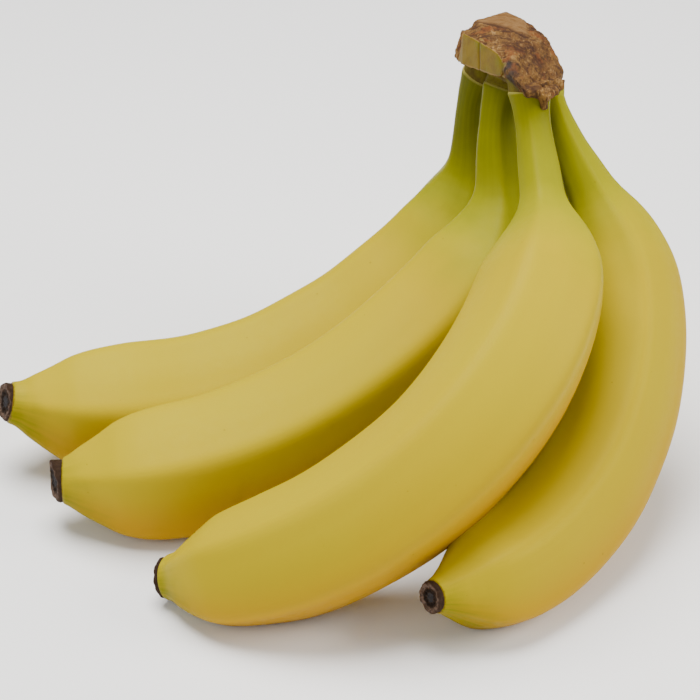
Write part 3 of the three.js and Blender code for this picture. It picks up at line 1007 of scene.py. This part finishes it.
class BananaHandSettings(bpy.types.PropertyGroup):
    """Colours of the fruit and the set-up of the studio."""

    skin: tint("Skin", "Ripe yellow of the skin", (0.41, 0.305, 0.0))
    skin_deep: tint("Deep skin", "Warmer yellow in slow patches", (0.41, 0.283, 0.0))
    # Painted shade laid on the lower faces
    skin_under_shade: tint("Under skin", "Golden yellow of the lower faces", (0.41, 0.212, 0.0))
    # Paler streaks of the skin, and a painted highlight on the upper faces
    skin_pale_and_top_light: tint("Pale skin", "Paler yellow of the upper faces and streaks", (0.43, 0.345, 0.002))
    neck: tint("Neck", "Green-yellow of the necks and shoulders", (0.255, 0.245, 0.0))
    neck_dark: tint("Dark neck", "Olive of the greener necks", (0.098, 0.103, 0.003))
    neck_rim: tint("Neck rim", "Pale rim at the top of a neck", (0.36, 0.31, 0.07))
    hollow: tint("Hollow", "Shaded olive under the lobes", (0.125, 0.100, 0.003))
    # Painted shade: brown patches in the dark hollow and on the shaded collars
    hollow_shade_brown: tint("Brown hollow", "Brown stains under the lobes", (0.070, 0.040, 0.005))
    tip: tint("Tip", "Green tint beside the blossom end", (0.14, 0.155, 0.0))
    ridge: tint("Ridge", "Rubbed tint of the ridges", (0.30, 0.20, 0.003))
    bruise: tint("Bruise", "Brown of bruises and specks", (0.10, 0.045, 0.008))
    lobe: tint("Lobe", "Skin left on the crown", (0.155, 0.098, 0.001))
    lobe_green: tint("Green lobe", "Greener skin left on the crown", (0.128, 0.102, 0.0))
    lobe_stain: tint("Stained lobe", "Soft brown stains on the lobes", (0.092, 0.047, 0.002))
    cut: tint("Cut", "Brown of the cut face", (0.120, 0.052, 0.010))
    cut_pale: tint("Pale cut", "Paler brown of the cut face", (0.17, 0.083, 0.016))
    cut_fleck: tint("Cut flecks", "Pale fibres of the cut face", (0.32, 0.185, 0.062))
    cut_dark: tint("Dark cut", "Dark streaks of the cut face", (0.030, 0.010, 0.004))
    cut_red: tint("Red cut", "Red-brown streaks of the cut face", (0.140, 0.038, 0.006))
    facet: tint("Back facet", "Smooth tan facet behind the top", (0.18, 0.095, 0.032))
    stub_core: tint("Blossom end middle", "Grey middle of the dried face", (0.034, 0.031, 0.032))
    stub_ring: tint("Blossom end ring", "Black ring round the middle", (0.010, 0.006, 0.004))
    stub_band: tint("Blossom end band", "Grey-brown ring on the dried face", (0.13, 0.085, 0.062))
    # Painted shadow beside the step at the right lobe's edge
    blue_black_shadow: tint("Blue-black", "Blue-black rot mark", (0.018, 0.019, 0.020))
    stub: tint("Blossom end", "Dried flower rest", (0.024, 0.012, 0.006))
    stub_grey: tint("Grey blossom end", "Grey patches of the dried rest", (0.062, 0.038, 0.024))
    floor: tint("Floor", "Pale studio floor", (0.93, 0.93, 0.93))
    speck_amount: FloatProperty(
        name="Specks", description="Strength of the small brown specks",
        default=0.6, min=0, max=1, subtype="FACTOR",
    )
    elevation: FloatProperty(
        name="Camera height", description="Angle at which the camera looks down",
        default=math.radians(32), subtype="ANGLE", unit="ROTATION",
    )
    view_angle: FloatProperty(
        name="View angle", description="Angle of view of the square picture",
        default=math.radians(14), subtype="ANGLE", unit="ROTATION",
    )
    key_power: FloatProperty(
        name="Key light", description="Power of the large light overhead", default=11.6, min=0, unit="POWER"
    )
    side_power: FloatProperty(
        name="Side light", description="Power of the light at the right", default=4.4, min=0, unit="POWER"
    )
    sky: FloatProperty(
        name="Surroundings", description="Brightness of the white surroundings", default=0.35, min=0
    )


class BANANA_OT_fingers(bpy.types.Operator):
    """Grow the five fingers from the crown to the blossom end"""

    bl_idname = "banana.fingers"
    bl_label = "Add Bananas"

    def execute(self, context):
        material = skin_material(context.scene.banana_hand)
        place_row(banana_mesh, material, "banana")
        return {"FINISHED"}


class BANANA_OT_blossom_ends(bpy.types.Operator):
    """Set the dried rest of the flower on each tip"""

    bl_idname = "banana.blossom_ends"
    bl_label = "Add Blossom Ends"

    def execute(self, context):
        material = stub_material(context.scene.banana_hand)
        place_row(stub_mesh, material, "blossom_end")
        return {"FINISHED"}


class BANANA_OT_crown(bpy.types.Operator):
    """Fuse the cut block, its skin lobes, the sap run and the collars"""

    bl_idname = "banana.crown"
    bl_label = "Add Crown"

    def execute(self, context):
        material = crown_material(context.scene.banana_hand)
        place_piece("cut_crown", crown_mesh(), material, "crown")
        return {"FINISHED"}


def aim(thing, place, target):
    """Puts a light or camera at a place, in millimetres, looking at the target."""
    thing.location = Vector((place - ORIGIN) * MM)
    look = Vector((target - place).tolist())
    thing.rotation_euler = look.to_track_quat("-Z", "Y").to_euler()
    bpy.context.collection.objects.link(thing)


def add_light(name, place, size, power, colour):
    """Round area light, aimed at the fruit."""
    lamp = bpy.data.lights.new(name, "AREA")
    lamp.shape = "DISK"
    lamp.size = size * MM
    lamp.energy = power
    lamp.color = colour
    aim(bpy.data.objects.new(name, lamp), np.array(place, float), LIGHT_TARGET)


class BANANA_OT_studio(bpy.types.Operator):
    """Add the pale floor, the soft lights and the camera"""

    bl_idname = "banana.studio"
    bl_label = "Add Studio"

    def execute(self, context):
        look = context.scene.banana_hand
        half = FLOOR_HALF
        mesh = bpy.data.meshes.new("floor")
        corners = [(-half, -half, 0), (half, -half, 0), (half, half, 0), (-half, half, 0)]
        mesh.from_pydata(corners, [], [(0, 1, 2, 3)])
        mesh.materials.append(floor_material(look))
        floor = bpy.data.objects.new("floor", mesh)
        context.collection.objects.link(floor)

        add_light("key_light", (-90, 120, 740), 600, look.key_power, (1.0, 0.985, 0.96))
        add_light("side_light", (640, -120, 420), 420, look.side_power, (1.0, 0.98, 0.95))
        add_light("front_light", (-380, -560, 420), 520, look.side_power * FRONT_SHARE, WHITE)

        world = bpy.data.worlds.new("surroundings")
        world.use_nodes = True
        background = world.node_tree.nodes["Background"]
        background.inputs["Color"].default_value = (*WHITE, 1.0)
        background.inputs["Strength"].default_value = look.sky
        context.scene.world = world

        lens = bpy.data.cameras.new("camera")
        lens.sensor_width = SENSOR
        lens.lens = SENSOR / 2 / math.tan(look.view_angle / 2)
        lens.clip_end = CLIP_END
        camera = bpy.data.objects.new("camera", lens)
        tilt = look.elevation
        back = np.array([0.0, -math.cos(tilt), math.sin(tilt)])
        aim(camera, CAMERA_TARGET + back * CAMERA_DISTANCE, CAMERA_TARGET)
        context.scene.camera = camera
        return {"FINISHED"}


class BANANA_PT_panel(bpy.types.Panel):
    """Sidebar panel of the banana hand"""

    bl_label = "Banana Hand"
    bl_idname = "BANANA_PT_panel"
    bl_space_type = "VIEW_3D"
    bl_region_type = "UI"
    bl_category = "Bananas"

    def draw(self, context):
        look = context.scene.banana_hand
        for name in BananaHandSettings.__annotations__:
            self.layout.prop(look, name)
        for operator in OPERATORS:
            self.layout.operator(operator.bl_idname)


OPERATORS = (BANANA_OT_fingers, BANANA_OT_blossom_ends, BANANA_OT_crown, BANANA_OT_studio)
CLASSES = (BananaHandSettings, *OPERATORS, BANANA_PT_panel)


def register():
    for cls in CLASSES:
        bpy.utils.register_class(cls)
    bpy.types.Scene.banana_hand = PointerProperty(type=BananaHandSettings)


def unregister():
    del bpy.types.Scene.banana_hand
    for cls in reversed(CLASSES):
        bpy.utils.unregister_class(cls)


def main():
    register()
    bpy.ops.banana.studio()
    bpy.ops.banana.fingers()
    bpy.ops.banana.blossom_ends()
    bpy.ops.banana.crown()


if __name__ == "__main__":
    main()
